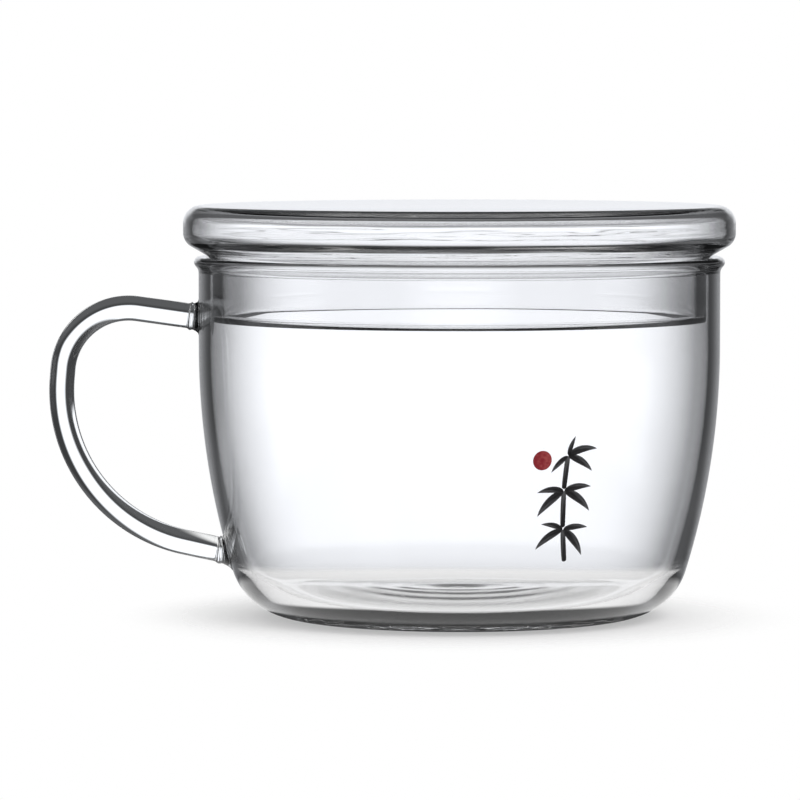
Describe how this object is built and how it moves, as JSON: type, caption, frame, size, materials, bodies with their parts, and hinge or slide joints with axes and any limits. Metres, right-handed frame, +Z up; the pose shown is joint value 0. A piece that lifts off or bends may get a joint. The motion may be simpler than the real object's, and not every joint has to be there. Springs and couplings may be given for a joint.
{
  "type": "glass mug with lid",
  "caption": "Wide clear glass mug with a bent glass rod handle welded to its side and a loose glass lid that sits in its beaded rim and lifts off.",
  "frame": {"origin": "on the cup's axis, on the plane of its foot", "axes": "+Z up along the cup's axis, -X towards the handle, +X to the right in the picture"},
  "size_m": [0.1528, 0.1228, 0.0914],
  "materials": {
    "cup_glass": "clear blown glass, fire polished",
    "handle_glass": "clear drawn glass rod, fire polished",
    "lid_glass": "clear blown glass, fire polished"
  },
  "bodies": {
    "mug": {"cup_body": "cup_glass", "handle": "handle_glass", "upper_weld": "handle_glass", "lower_weld": "handle_glass"},
    "lid": {"lid": "lid_glass"}
  },
  "joints": [
    {"name": "lid_lift", "type": "slide", "parent": "mug", "child": "lid", "axis": [0, 0, 1], "range_m": [0, 0.06]}
  ]
}
